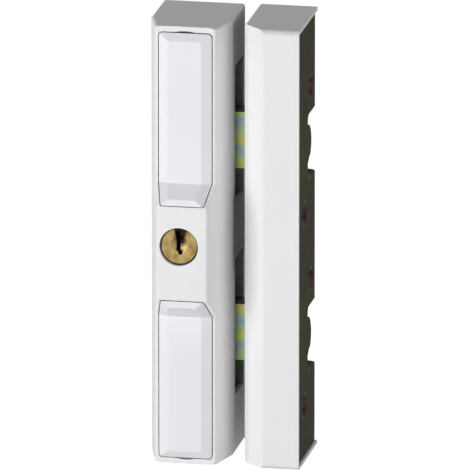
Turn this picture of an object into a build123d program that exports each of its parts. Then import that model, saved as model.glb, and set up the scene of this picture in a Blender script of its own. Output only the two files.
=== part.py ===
from build123d import *
import os
from math import copysign, cos, hypot, radians, sin, sqrt

# Window lock for surface mounting: a lock case with two steel bolts that swing out of its right side,
# and beside it the strike box, on the fixed frame of the window, that holds them.
# Millimetres. X runs to the right, Z up and Y into the window. The origin is the middle of the lock
# case's back, which lies on the window. Every "off" below is a height off the window, towards the room.

# Lock case
case_width = 33.4
case_height = 181.6
case_corner = 1.3
case_wall = 2.0
side_off = 25.0
cap_off = 40.0
crown_off = 47.8
flank_lean = 4.1
edge_break = 0.9

# Raised middle zone round the cylinder
crown_top = 18.2
crown_bottom = -20.7
ramp_length = 8.2

# Snap-on caps over the screws, one above the crown and one below
cap_rim_side = 1.5
cap_rim_end = 2.3
cap_corner = 1.8
cap_inner_corner = 1.2
cap_rise = 2.6
cap_side_bevel = 4.2
cap_end_bevel = 3.2
cap_wall = 1.6
cap_skirt = 1.6
cap_lip = 2.9
seam_gap = 0.22
pocket_depth = 3.4
floor_wall = 2.2
notch_width = 7.8
notch_height = 0.5
notch_depth = 2.6
clip_width = 5.0
clip_thickness = 1.4
clip_barb = 0.6
clip_inset = 4.4
clip_near = 3.7
clip_far = 27.9
clip_clearance = 0.3
clip_catch = 0.3
clip_tip_below = 1.8

# Openings in the right wall, which the bolts swing through
bolt_pitch = 80.0
bolt_middle = -2.1
opening_off = 21.5
opening_clearance = 0.6
opening_below = 24.4
opening_corner = 1.0

# Swing bolts
bolt_height = 23.5
bolt_thickness = 10.4
bolt_back = 3.6
bolt_reach = 34.0
bolt_tip_radius = 5.0
bolt_swing = 90.0
pivot_x = 1.5
pivot_rim = 5.75
neck_radius = 4.3
screw_bore_radius = 2.8
running_clearance = 0.06
seat_gap = 0.02
end_float = 0.12
washer_rim = 2.5
washer_thickness = 1.0
washer_gap = 0.1

# Drive plate and its crank pins, which turn the bolts and the plug together
crank_rim = 3.25
crank_angle = 135.0
crank_pin_radius = 1.7
crank_shoulder_radius = 2.4
crank_head_radius = 3.1
crank_arm_width = 7.0
shoulder_clearance = 0.4
crank_head = 0.9
plate_off = 15.6
plate_thickness = 2.0
plate_margin = 2.0
plate_corner = 2.5
window_clearance = 0.45
open_pivot_clearance = 0.3
pin_root = 5.0

# Cylinder
cylinder_x = -1.3
cylinder_z = 1.6
cylinder_hole_radius = 7.9
plug_head_radius = 7.15
plug_head = 2.3
plug_recess = 1.3
plug_radius = 5.5
plug_clearance = 0.05
body_radius = 7.7
body_front = 44.0
body_back = 24.4
chimney_width = 8.4
chimney_height = 14.3
ear_thickness = 3.0
ear_radius = 4.6
ear_below = 15.0
ear_above = 21.0
tail_side = 5.0
tail_fit = 0.05
crank_thickness = 2.0
crank_off = 18.2
clip_groove_radius = 4.6
plug_clip_radius = 7.0
plug_clip_thickness = 0.8
clip_mouth = 3.0
keyway_mouth_left = -2.0
keyway_mouth_right = 1.4
keyway_side = 1.3
keyway_ward = 0.3
keyway_shoulder = 2.8
keyway_toe = -1.7
keyway_low = -3.4
keyway_blind = 2.0
key_dish_rise = 0.8
key_dish_radius = 3.7
key_dish_inner = 1.6
key_dish_depth = 1.3
key_pin_lengths = [3.4, 4.2, 3.0, 4.6, 3.8]
pin_pitch = 3.5
pin_first = 40.6
pin_radius = 1.3
pin_clearance = 0.06
driver_length = 3.4
spring_radius = 1.15
strip_thickness = 1.0
strip_side = 1.6
strip_end = 1.0
flat_count = 8

# Base plate and the case's screws
base_thickness = 3.0
base_gap = 0.15
tab_gap = 0.5
end_hole_inset = 10.2
end_post_side = 9.0
small_screw_radius = 2.0
small_head_radius = 3.9
hex_radius = 3.9
hex_height = 2.2
countersink_depth = 2.2
base_screw_side = 6.6
base_screw_end = 6.4
base_screw_length = 12.0
cylinder_screw_length = 9.0
blind_end = 1.0
boss_side = 7.2

# Strike box
strike_gap = 5.9
strike_width = 23.7
strike_height = 182.2
strike_off = 41.0
strike_wall = 1.5
strike_chamfer_x = 9.3
strike_chamfer_off = 9.3
strike_roll = 2.5
strike_end_round = 1.2
strike_slot_off = 15.0
slot_clearance = 0.8
lug_width = 6.0
lug_height = 1.6
lug_depth = 1.1
lug_clearance = 0.3
lug_inset = 20.5
lug_off = 21.0

# Steel keeper inside the strike box
keeper_gap = 0.1
keeper_base = 3.0
keeper_web = 2.5
keeper_web_off = 30.0
keeper_bend = 2.4
side_plate = 3.0
side_plate_recess = 0.9
side_plate_corner = 1.2
side_plate_back = 0.8
keeper_screw_radius = 2.75
keeper_head_radius = 5.2
keeper_end_inset = 12.5
keeper_inner_z = 14.0
notch_top = 12.2
notch_bottom = 9.1
notch_flare = 5.8
notch_corner = 3.0
notch_in = 15.6
tongue_radius = 7.9
tongue_shift = 0.4
side_hole_radius = 2.9
side_countersink_radius = 5.0

# Sizes worked out from those above
case_half = case_width / 2
case_top = case_height / 2
face_half = case_half - flank_lean
draft = (case_half - face_half) / (cap_off - side_off)
draft_wall = case_wall * sqrt(1 + draft ** 2)
floor_off = cap_off - pocket_depth
cavity_off = floor_off - floor_wall
crown_cavity_off = crown_off - case_wall
cap_outer_z = case_top - cap_rim_end
clip_x = face_half - clip_inset
end_hole_z = case_top - end_hole_inset
base_screw_x = case_half - base_screw_side
base_screw_z = case_top - base_screw_end
bolt_half = bolt_height / 2
pivot_radius = bolt_half - pivot_rim
tip_sweep = hypot(bolt_reach - bolt_tip_radius, bolt_half - bolt_tip_radius) + bolt_tip_radius
opening_above = sqrt(tip_sweep ** 2 - (case_half - case_wall - pivot_x) ** 2) + opening_clearance
crank_radius = bolt_half - crank_rim
washer_radius = pivot_radius + washer_rim
bolt_front = bolt_back + bolt_thickness
bolt_z = {"upper": bolt_middle + bolt_pitch / 2, "lower": bolt_middle - bolt_pitch / 2}
washer_off = bolt_front + washer_gap
plate_front = plate_off + plate_thickness
window_radius = neck_radius + window_clearance
chimney_half = chimney_width / 2
plug_front = crown_off - plug_recess
head_back = plug_front - plug_head
barrel_back = body_back - 2 * plug_clip_thickness
strike_left = case_half + strike_gap
strike_right = strike_left + strike_width
strike_top = strike_height / 2
web_left = strike_left + strike_wall + keeper_gap
web_right = web_left + keeper_web
side_plate_right = strike_right - side_plate_recess
side_plate_left = side_plate_right - side_plate
keeper_top = strike_top - strike_wall - keeper_gap
keeper_end_z = strike_top - keeper_end_inset
lug_z = strike_top - lug_inset
ear_front = body_back + ear_thickness
base_screw_places = [(base_screw_x, base_screw_z), (-base_screw_x, -base_screw_z)]
ear_z = {"upper": cylinder_z + ear_above, "lower": cylinder_z - ear_below}
pin_offs = [pin_first - index * pin_pitch for index in range(len(key_pin_lengths))]
shear_below = sqrt(plug_radius ** 2 - pin_radius ** 2) - plug_clearance
shear_above = plug_radius + 2 * plug_clearance
strip_half = chimney_half - strip_side
strip_front = body_front - strip_end
strip_back = body_back + strip_end
clip_back = body_back - plug_clip_thickness - plug_clearance
slot_below = bolt_half + slot_clearance
slot_above = sqrt(tip_sweep ** 2 - (strike_left - pivot_x) ** 2) + slot_clearance
keeper_hole_z = [keeper_end_z, bolt_middle + keeper_inner_z, bolt_middle - keeper_inner_z, -keeper_end_z]
side_holes = [(22.9, 10.2), (-10.3, 11.0), (-26.4, 23.5)]


def raise_off(sketch, start, end):
    """Extrude a sketch drawn in the window's plane from one height off it to another."""
    return extrude(Plane.XZ.offset(start) * sketch, end - start)


def rod(x, z, radius, start, end):
    return raise_off(Pos(x, z) * Circle(radius), start, end)


def small_post(x, z, radius, start, end):
    """A small hidden shank, head or screw hole, drawn with a few flats."""
    return raise_off(Pos(x, z) * RegularPolygon(radius, flat_count), start, end)


def small_taper(x, z, start_radius, end_radius, start, end):
    """The countersink of a small hidden screw, with the same flats."""
    rings = [Plane.XZ.offset(off) * Pos(x, z) * RegularPolygon(radius, flat_count)
             for off, radius in ((start, start_radius), (end, end_radius))]
    return loft(rings, ruled=True)


def square_post(x, z, side, start, end):
    return raise_off(Pos(x, z) * Rectangle(side, side), start, end)


def cone(x, z, start_radius, end_radius, start, end):
    """A cone on an axis that stands off the window."""
    middle = Plane(origin=(x, -(start + end) / 2, z), z_dir=(0, -1, 0))
    return middle * Cone(start_radius, end_radius, end - start)


def box_off(x0, x1, start, end, z0, z1):
    return Pos((x0 + x1) / 2, -(start + end) / 2, (z0 + z1) / 2) * Box(x1 - x0, end - start, z1 - z0)


def along_height(points, z0, z1):
    """Extrude a cross-section, given as (x, off) points, from z0 up to z1."""
    outline = make_face(Polyline([(x, -off) for x, off in points], close=True))
    return extrude(Plane.XY.offset(z0) * outline, z1 - z0)


def across_width(points, half_width):
    """Extrude a side view, given as (off, z) points, to both sides of the middle."""
    outline = make_face(Polyline([(-off, z) for off, z in points], close=True))
    return extrude(Plane.YZ * outline, half_width, both=True)


def outline(points):
    return make_face(Polyline(points, close=True))


def half_width_at(off):
    """Half the width of the case's front part at one height off the window."""
    return case_half - draft * max(0.0, off - side_off)


def crank_point(x, z):
    """Where the crank pin of a pivot lies at rest."""
    angle = radians(crank_angle)
    return x + crank_radius * cos(angle), z + crank_radius * sin(angle)


def case_block():
    """The outside of the lock case: drafted flanks under a front with a raised middle zone."""
    section = [
        (-case_half, 0), (case_half, 0), (case_half, side_off), (half_width_at(crown_off), crown_off),
        (-half_width_at(crown_off), crown_off), (-case_half, side_off),
    ]
    side_view = [
        (0, -case_top), (0, case_top), (cap_off, case_top), (cap_off, crown_top + ramp_length),
        (crown_off, crown_top), (crown_off, crown_bottom), (cap_off, crown_bottom - ramp_length),
        (cap_off, -case_top),
    ]
    block = along_height(section, -case_top, case_top) & across_width(side_view, case_width)
    front = block.edges().filter_by(
        lambda e: e.center().Y < -side_off - 0.1 and abs(e.center().X) > half_width_at(crown_off) - 0.5
        and abs(e.center().Z) < case_top - 0.1
    )
    block = chamfer(front, edge_break)
    ends = block.edges().filter_by(lambda e: abs(abs(e.center().Z) - case_top) < 0.01)
    corners = ends.filter_by(lambda e: abs(e.center().X) > face_half / 2 + 1)
    return fillet(corners, case_corner)


def cap_outline(side, grow=0.0):
    """The seam of a cap in the window's plane; side is 1 for the upper cap and -1 for the lower one."""
    inner = crown_top if side > 0 else crown_bottom
    ramp_foot = inner + side * ramp_length
    end = side * cap_outer_z
    wide = face_half - cap_rim_side
    narrow = half_width_at(crown_off) - cap_rim_side
    points = [
        (-wide, end), (wide, end), (wide, ramp_foot), (narrow, inner), (-narrow, inner), (-wide, ramp_foot),
    ]
    shape = outline(points)
    shape = fillet(shape.vertices().filter_by(lambda v: abs(v.Y - end) < 0.01), cap_corner)
    shape = fillet(shape.vertices().filter_by(lambda v: abs(v.Y - inner) < 0.01), cap_inner_corner)
    return offset(shape, amount=grow) if grow else shape


def clip_places(side):
    """Where the four legs of a cap stand: a pair near each end of its field."""
    ramp_foot = (crown_top if side > 0 else crown_bottom) + side * ramp_length
    near = ramp_foot + side * clip_near
    far = side * (cap_outer_z - clip_far)
    return [(sign * clip_x, z) for sign in (1, -1) for z in (near, far)]


def boss_room():
    """The space that the case's bosses may fill, just short of its outer faces."""
    skin = case_wall / 2
    front = crown_off - skin
    side = case_half - skin
    front_side = half_width_at(front) - skin
    section = [
        (-side, 0), (side, 0), (side, side_off), (front_side, front), (-front_side, front), (-side, side_off),
    ]
    return along_height(section, skin - case_top, case_top - skin)


def corner_block(x, z):
    """The boss of a base screw, which fills the case's corner."""
    across = sorted((x - copysign(boss_side / 2, x), copysign(case_half, x)))
    along = sorted((z - copysign(boss_side / 2, z), copysign(case_top, z)))
    return box_off(*across, base_thickness, floor_off, *along)


def lock_cover():
    cover = case_block()
    inner_half = case_half - case_wall
    inner_section = [
        (-inner_half, -1), (inner_half, -1), (inner_half, side_off),
        (half_width_at(crown_cavity_off) - draft_wall, crown_cavity_off),
        (-half_width_at(crown_cavity_off) + draft_wall, crown_cavity_off), (-inner_half, side_off),
    ]
    inner_view = [
        (-1, case_wall - case_top), (-1, case_top - case_wall), (cavity_off, case_top - case_wall),
        (cavity_off, crown_top - case_wall), (crown_cavity_off, crown_top - case_wall),
        (crown_cavity_off, crown_bottom + case_wall), (cavity_off, crown_bottom + case_wall),
        (cavity_off, case_wall - case_top),
    ]
    cover -= along_height(inner_section, -case_top, case_top) & across_width(inner_view, case_width)

    ends = (1, -1)
    posts = [square_post(0, side * end_hole_z, end_post_side, base_thickness, floor_off) for side in ends]
    posts += [corner_block(x, z) for x, z in base_screw_places]
    posts.append(square_post(cylinder_x, ear_z["upper"], boss_side, ear_front, floor_off))
    posts.append(square_post(cylinder_x, ear_z["lower"], boss_side, ear_front, crown_off))
    room = boss_room()
    for post in posts:
        cover += post & room

    for side in ends:
        cover -= raise_off(cap_outline(side), floor_off, crown_off + 1)
        cover -= rod(0, side * end_hole_z, screw_bore_radius, 0, cap_off)
        for x, z in clip_places(side):
            slot_width = clip_thickness + 2 * (clip_barb + clip_clearance)
            slot = Pos(x, z) * Rectangle(slot_width, clip_width + 2 * clip_clearance)
            cover -= raise_off(slot, cavity_off - 1, floor_off + 1)
        notch_radius = (notch_width ** 2 / 4 + notch_height ** 2) / (2 * notch_height)
        notch_z = side * (cap_outer_z + notch_height - notch_radius)
        lens = Pos(0, side * (cap_outer_z + notch_height)) * Rectangle(notch_width, 4 * notch_height)
        lens = (Pos(0, notch_z) * Circle(notch_radius)) & lens
        cover -= raise_off(lens, cap_off - notch_depth, cap_off + 1)
    for z in bolt_z.values():
        cover -= rod(pivot_x, z, screw_bore_radius, 0, cap_off)
        gap = box_off(inner_half - 1, case_half + 1, -1, opening_off, z - opening_below, z + opening_above)
        cover -= fillet(gap.edges().filter_by(Axis.X).sort_by(Axis.Y)[:2], opening_corner)
    cover -= rod(cylinder_x, cylinder_z, cylinder_hole_radius, crown_cavity_off - 1, crown_off + 1)
    for x, z in base_screw_places:
        cover -= small_post(x, z, small_screw_radius, 0, base_screw_length + blind_end)
    bore_end = body_back + cylinder_screw_length + blind_end
    for z in ear_z.values():
        cover -= small_post(cylinder_x, z, small_screw_radius, body_back, bore_end)
    return cover


def cap_form(side, sink=0.0):
    """The faceted top of a cap: bevelled field, a ramp up to the crown's level and a flat lip."""
    inner = crown_top if side > 0 else crown_bottom
    end = side * cap_outer_z
    wide = face_half - cap_rim_side
    narrow = half_width_at(crown_off) - cap_rim_side
    field_half = wide - cap_side_bevel
    field_off = cap_off + cap_rise
    climb = crown_off - field_off
    lip_edge = inner + side * cap_lip
    ramp_start = lip_edge + side * climb
    skirt_off = cap_off - 3 * cap_skirt

    def ring(z, base_half, seam_off, top_half, top_off):
        seam, top = seam_off - sink, top_off - sink
        points = [
            (-base_half, skirt_off), (base_half, skirt_off), (base_half, seam),
            (top_half, top), (-top_half, top), (-base_half, seam),
        ]
        return Plane.XY.offset(z) * make_face(Polyline([(x, -off) for x, off in points], close=True))

    start = ring(ramp_start, wide, cap_off, field_half, field_off)
    lip = ring(lip_edge, narrow + cap_lip * draft, crown_off - cap_lip, field_half - climb * draft, crown_off)
    tail = ring(inner, narrow, crown_off - seam_gap, narrow - seam_gap, crown_off)
    ramp = loft([start, lip, tail], ruled=True)
    field = extrude(start, end - ramp_start, dir=(0, 0, 1))
    bevel = [
        (cap_off - sink, end), (field_off - sink, end - side * cap_end_bevel),
        (crown_off, end - side * cap_end_bevel), (crown_off, end + side), (cap_off - sink, end + side),
    ]
    return field - across_width(bevel, case_width) + ramp


def cap(side):
    """A snap-on cap: one moulded shell with a skirt in the case's pocket and four hooked legs."""
    trim = raise_off(cap_outline(side, -seam_gap), cap_off - cap_skirt, crown_off + 1)
    room = raise_off(cap_outline(side, -seam_gap - cap_wall), 0, crown_off + 1)
    shell = (cap_form(side) & trim) - (cap_form(side, cap_wall) & room)
    tip_off = cavity_off - clip_tip_below
    for x, z in clip_places(side):
        outward = 1 if x > 0 else -1
        face = x + outward * clip_thickness / 2
        leg = box_off(x - clip_thickness / 2, x + clip_thickness / 2, tip_off, cap_off,
                      z - clip_width / 2, z + clip_width / 2)
        catch_off = cavity_off - clip_catch
        hook = [(face, tip_off), (face + outward * clip_barb, catch_off), (face, catch_off)]
        shell += leg + along_height(hook, z - clip_width / 2, z + clip_width / 2)
    return shell


def base_plate():
    """The steel plate behind the mechanism, with tabs that close the wall openings at the back."""
    half = case_half - case_wall - base_gap
    top = case_top - case_wall - base_gap
    plate = box_off(-half, half, 0, base_thickness, -top, top)
    for z in bolt_z.values():
        plate += box_off(0, case_half - tab_gap, 0, base_thickness,
                         z - opening_below + base_gap, z + opening_above - base_gap)
        plate -= rod(pivot_x, z, screw_bore_radius, -1, base_thickness + 1)
    for side in (1, -1):
        plate -= rod(0, side * end_hole_z, screw_bore_radius, -1, base_thickness + 1)
    for x, z in base_screw_places:
        hole_radius = small_screw_radius + running_clearance
        plate -= small_post(x, z, hole_radius, -1, base_thickness + 1)
        plate -= small_taper(x, z, small_head_radius, hole_radius, 0, countersink_depth)
    return plate


def base_screws():
    """Countersunk screws that hold the base plate in the case, put in from behind."""
    screws = []
    for x, z in base_screw_places:
        shank_radius = small_screw_radius - seat_gap
        head = small_taper(x, z, small_head_radius - running_clearance, shank_radius, 0, countersink_depth)
        screws.append(head + small_post(x, z, shank_radius, countersink_depth, base_screw_length))
    return Compound(children=screws)


def pivot_tube(name):
    """A stepped steel tube that a bolt turns on and a mounting screw passes through."""
    z = bolt_z[name]
    tube = rod(pivot_x, z, pivot_radius, base_thickness, washer_off)
    tube += rod(pivot_x, z, neck_radius, washer_off, cavity_off)
    return tube - rod(pivot_x, z, screw_bore_radius, base_thickness - 1, cavity_off + 1)


def pivot_washers():
    """The pressed-on washers that keep the bolts on their tubes, cut away where the crank pins pass."""
    washers = []
    for z in bolt_z.values():
        ring = Circle(washer_radius) - Circle(neck_radius)
        reach = crank_radius + crank_shoulder_radius
        mouth_left = crank_radius * cos(radians(crank_angle)) + crank_shoulder_radius + shoulder_clearance
        mouth_half = crank_radius * sin(radians(crank_angle)) + crank_shoulder_radius + shoulder_clearance
        ring -= Pos((mouth_left - reach) / 2, 0) * Rectangle(mouth_left + reach, 2 * mouth_half)
        washers.append(raise_off(Pos(pivot_x, z) * ring, washer_off, washer_off + washer_thickness))
    return Compound(children=washers)


def swing_bolt(name):
    """A flat steel arm with a round heel about its pivot and a rounded tip."""
    z = bolt_z[name]
    arm = Pos(pivot_x + bolt_reach / 2, z) * Rectangle(bolt_reach, bolt_height)
    arm = fillet(arm.vertices().group_by(Axis.X)[-1], bolt_tip_radius)
    shape = raise_off(Pos(pivot_x, z) * Circle(bolt_half) + arm, bolt_back, bolt_front)
    shape -= rod(pivot_x, z, pivot_radius + running_clearance, 0, cap_off)
    pin_x, pin_z = crank_point(pivot_x, z)
    return shape - rod(pin_x, pin_z, crank_pin_radius, bolt_front - pin_root, cap_off)


def crank_pin(name):
    """A shouldered pin riveted in a bolt; its head keeps the drive plate on."""
    x, z = crank_point(pivot_x, bolt_z[name])
    pin = rod(x, z, crank_pin_radius - seat_gap, bolt_front - pin_root, plate_front + crank_head)
    pin += small_post(x, z, crank_shoulder_radius, bolt_front, plate_off - end_float)
    return pin + small_post(x, z, crank_head_radius, plate_front + end_float, plate_front + crank_head)


def cut_corner_plate(left, right, low, high):
    plate = Pos((left + right) / 2, (low + high) / 2) * Rectangle(right - left, high - low)
    return chamfer(plate.vertices(), plate_corner)


def drive_plate():
    """The plate that joins both bolts' crank pins and the plug's, with windows that clear the pivots."""
    pins = [crank_point(pivot_x, z) for z in bolt_z.values()]
    plug_pin = crank_point(cylinder_x, cylinder_z)
    bulge = crank_radius * (1 - cos(radians(bolt_swing / 2)))
    window_right = pivot_x + bulge + window_radius
    left = plug_pin[0] - crank_pin_radius - plate_margin
    head_left = pins[0][0] - crank_pin_radius - plate_margin
    travel = 2 * crank_radius * sin(radians(bolt_swing / 2))
    shape = None
    for z in bolt_z.values():
        low = z - window_radius - plate_margin
        high = z + travel + window_radius + plate_margin
        head = cut_corner_plate(head_left, window_right + plate_margin, low, high)
        shape = head if shape is None else shape + head
    shape += cut_corner_plate(left, cylinder_x, bolt_z["lower"], bolt_z["upper"] + travel)
    for x, z in pins:
        sweep = CenterArc((x, z), crank_radius, crank_angle + 180, bolt_swing)
        shape -= SlotArc(sweep, 2 * window_radius)
        shape -= Pos(x, z) * Circle(crank_pin_radius + running_clearance)
    shape -= Pos(*plug_pin) * Circle(crank_pin_radius + open_pivot_clearance)
    return raise_off(shape, plate_off, plate_front)


def cylinder_body():
    """The brass housing: a round barrel under a chimney for the pins, with two screw ears at its back."""
    shape = Circle(body_radius) + Pos(0, chimney_height / 2) * Rectangle(chimney_width, chimney_height)
    body = raise_off(Pos(cylinder_x, cylinder_z) * shape, body_back, body_front)
    for z in ear_z.values():
        ear = Pos(cylinder_x, z) * Circle(ear_radius)
        ear += Pos(cylinder_x, (z + cylinder_z) / 2) * Rectangle(2 * ear_radius, abs(z - cylinder_z))
        body += raise_off(ear, body_back, ear_front)
        body -= small_post(cylinder_x, z, small_screw_radius + running_clearance, 0, ear_front + 1)
    body -= rod(cylinder_x, cylinder_z, plug_radius + plug_clearance, 0, crown_off)
    chamber_top = cylinder_z + chimney_height - strip_thickness
    for off in pin_offs:
        body -= upright(off, cylinder_z, chamber_top, pin_radius + pin_clearance)
    strip_room = box_off(cylinder_x - strip_half, cylinder_x + strip_half, strip_back, strip_front,
                         chamber_top, chamber_top + 2 * strip_thickness)
    return body - strip_room


def chamber_strip():
    """The brass strip that closes the pin chambers at the top of the chimney."""
    top = cylinder_z + chimney_height
    return box_off(cylinder_x - strip_half, cylinder_x + strip_half, strip_back, strip_front,
                   top - strip_thickness, top)


def upright(off, low, high, radius):
    """A pin, spring or chamber of the cylinder, drawn with a few flats because it is small and hidden."""
    section = Pos(cylinder_x, -off) * RegularPolygon(radius, flat_count)
    return extrude(Plane.XY.offset(low) * section, high - low)


def keyway(front, back):
    """The warded key slot: wide at the plug's open top, narrow past its axis, with a toe to the right."""
    top = plug_head_radius + 1
    slot = outline([
        (keyway_mouth_left, top), (keyway_mouth_right, top), (keyway_side, keyway_shoulder),
        (keyway_ward, keyway_shoulder), (keyway_ward, keyway_toe), (keyway_side, keyway_toe),
        (keyway_side, keyway_low), (-keyway_ward, keyway_low), (-2 * keyway_ward, keyway_toe - keyway_ward),
        (-keyway_side, keyway_toe - keyway_ward), (-keyway_side, keyway_shoulder),
    ])
    return raise_off(Pos(cylinder_x, cylinder_z) * slot, back, front)


def cylinder_plug():
    """The plug that the key turns: headed barrel with the key slot, pin holes and a square tail."""
    plug = rod(cylinder_x, cylinder_z, plug_head_radius, head_back, plug_front)
    plug += rod(cylinder_x, cylinder_z, plug_radius, barrel_back, head_back)
    groove = rod(cylinder_x, cylinder_z, plug_radius + 1, clip_back, clip_back + plug_clip_thickness)
    plug -= groove - rod(cylinder_x, cylinder_z, clip_groove_radius, 0, cap_off)
    plug += raise_off(Pos(cylinder_x, cylinder_z) * Rectangle(tail_side, tail_side), crank_off, barrel_back)
    plug -= keyway(plug_front + 1, body_back + keyway_blind)
    dish_z = cylinder_z + key_dish_rise
    plug -= cone(cylinder_x, dish_z, key_dish_inner, key_dish_radius, plug_front - key_dish_depth, plug_front)
    for off in pin_offs:
        plug -= upright(off, cylinder_z, cylinder_z + 2 * plug_radius, pin_radius + pin_clearance)
    return plug


def key_pins():
    """Pins of unequal length in the plug, level at its edge as with the key in."""
    top = cylinder_z + shear_below
    return Compound(children=[
        upright(off, top - length, top, pin_radius) for off, length in zip(pin_offs, key_pin_lengths)
    ])


def driver_pins():
    low = cylinder_z + shear_above
    return Compound(children=[upright(off, low, low + driver_length, pin_radius) for off in pin_offs])


def pin_springs():
    """The small coil springs over the driver pins, as plain bodies of their outer size."""
    low = cylinder_z + shear_above + driver_length
    high = cylinder_z + chimney_height - strip_thickness
    return Compound(children=[upright(off, low, high, spring_radius) for off in pin_offs])


def plug_clip():
    """The open ring that holds the plug in its housing."""
    ring = rod(cylinder_x, cylinder_z, plug_clip_radius, clip_back, clip_back + plug_clip_thickness)
    ring -= rod(cylinder_x, cylinder_z, clip_groove_radius, 0, cap_off)
    mouth = box_off(cylinder_x - clip_mouth / 2, cylinder_x + clip_mouth / 2, 0, cap_off,
                    cylinder_z - 2 * plug_clip_radius, cylinder_z)
    return ring - mouth


def plug_crank():
    """The steel crank on the plug's square tail, with the pin that moves the drive plate."""
    x, z = crank_point(cylinder_x, cylinder_z)
    arm = SlotCenterToCenter(crank_radius, crank_arm_width)
    arm = Pos((x + cylinder_x) / 2, (z + cylinder_z) / 2) * Rot(0, 0, crank_angle) * arm
    arm += Pos(cylinder_x, cylinder_z) * Circle(plug_radius)
    crank = raise_off(arm, crank_off, crank_off + crank_thickness)
    crank += rod(x, z, crank_pin_radius, plate_off - end_float, crank_off)
    hole = Pos(cylinder_x, cylinder_z) * Rectangle(tail_side + 2 * tail_fit, tail_side + 2 * tail_fit)
    return crank - raise_off(hole, 0, cap_off)


def cylinder_screws():
    """Hexagon screws through the housing's ears into the case."""
    screws = []
    for z in ear_z.values():
        hexagon = Pos(cylinder_x, z) * RegularPolygon(hex_radius, 6)
        shank_end = body_back + cylinder_screw_length
        shank = small_post(cylinder_x, z, small_screw_radius - seat_gap, body_back, shank_end)
        screws.append(raise_off(hexagon, body_back - hex_height, body_back) + shank)
    return Compound(children=screws)


def strike_cover():
    """The strike box's thin cover: front, slanted corner, side facing the lock, and two end walls."""
    bend_off = strike_off - strike_chamfer_off
    front_left = strike_left + strike_chamfer_x
    outer = [
        (strike_left, 0), (strike_right, 0), (strike_right, strike_off),
        (front_left, strike_off), (strike_left, bend_off),
    ]
    slope = sqrt(strike_chamfer_x ** 2 + strike_chamfer_off ** 2)
    inner_bend = bend_off - strike_wall * (slope - strike_chamfer_off) / strike_chamfer_x
    inner_front = front_left + strike_wall * (slope - strike_chamfer_x) / strike_chamfer_off
    inner = [
        (strike_left + strike_wall, -1), (strike_right + 1, -1), (strike_right + 1, strike_off - strike_wall),
        (inner_front, strike_off - strike_wall), (strike_left + strike_wall, inner_bend),
    ]
    cover = along_height(outer, -strike_top, strike_top)
    ends = cover.edges().filter_by(lambda e: abs(abs(e.center().Z) - strike_top) < 0.01)
    cover = fillet(ends.filter_by(lambda e: -e.center().Y > strike_off - 0.01), strike_roll)
    ends = cover.edges().filter_by(lambda e: abs(abs(e.center().Z) - strike_top) < 0.01)
    cover = fillet(ends.filter_by(lambda e: abs(e.center().X - strike_left) < 0.01), strike_end_round)
    cover -= along_height(inner, strike_wall - strike_top, strike_top - strike_wall)
    for z in bolt_z.values():
        cover -= box_off(strike_left - 1, strike_left + strike_wall + 1, -1, strike_slot_off,
                         z - slot_below, z + slot_above)
    for z in (lug_z, -lug_z):
        face = strike_left + strike_wall
        lug = [(face, lug_off - lug_height), (face + lug_depth, lug_off), (face, lug_off + lug_height)]
        cover += along_height(lug, z - lug_width / 2, z + lug_width / 2)
    return cover


def keeper_angle():
    """The steel angle under the strike cover: a base on the frame and a web slotted for the bolts."""
    section = [
        (web_left, 0), (side_plate_left, 0), (side_plate_left, keeper_base), (web_right, keeper_base),
        (web_right, keeper_web_off), (web_left, keeper_web_off),
    ]
    angle = along_height(section, -keeper_top, keeper_top)
    corner = angle.edges().filter_by(Axis.Z).sort_by(lambda e: e.center().X - e.center().Y)[0]
    angle = fillet(corner, keeper_bend)
    for z in bolt_z.values():
        angle -= box_off(web_left - 1, web_right + 1, keeper_base, bolt_front + slot_clearance,
                         z - slot_below, z + slot_above)
    for z in (lug_z, -lug_z):
        half_wide = lug_width / 2 + lug_clearance
        half_high = lug_height + lug_clearance
        angle -= box_off(web_left - 1, web_right + 1, lug_off - half_high, lug_off + half_high,
                         z - half_wide, z + half_wide)
    middle = (web_right + side_plate_left) / 2
    for z in keeper_hole_z:
        angle -= rod(middle, z, keeper_screw_radius, -1, keeper_base + 1)
        angle -= cone(middle, z, keeper_screw_radius, keeper_head_radius,
                      keeper_base - (keeper_head_radius - keeper_screw_radius), keeper_base)
    return angle


def keeper_side_plate():
    """The flat plate in the box's open side, with a notch at each bolt and countersunk holes."""
    back, front = side_plate_back, strike_off - strike_wall - keeper_gap
    plate = Pos((back + front) / 2, 0) * RectangleRounded(front - back, 2 * keeper_top, side_plate_corner)
    for z in bolt_z.values():
        inner = back + notch_in
        notch = outline([
            (back - 1, z + notch_top), (inner, z + notch_top), (inner, z - notch_bottom),
            (back - 1, z - notch_bottom - notch_flare),
        ])
        notch = fillet(notch.vertices().filter_by(lambda v: v.X > inner - 0.01 and v.Y > z), notch_corner)
        tongue = Pos(inner, z + tongue_shift) * Circle(tongue_radius)
        plate -= notch - tongue
        for rise, hole_off in side_holes:
            plate -= Pos(hole_off, z + rise) * Circle(side_hole_radius)
    plate = extrude(Plane.YZ.offset(side_plate_left) * mirror(plate, about=Plane.YZ), side_plate)
    for z in bolt_z.values():
        for rise, hole_off in side_holes:
            depth = side_countersink_radius - side_hole_radius
            sink = Plane(origin=(side_plate_right - depth / 2, -hole_off, z + rise), z_dir=(1, 0, 0))
            plate -= sink * Cone(side_hole_radius, side_countersink_radius, depth)
    return plate


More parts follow.
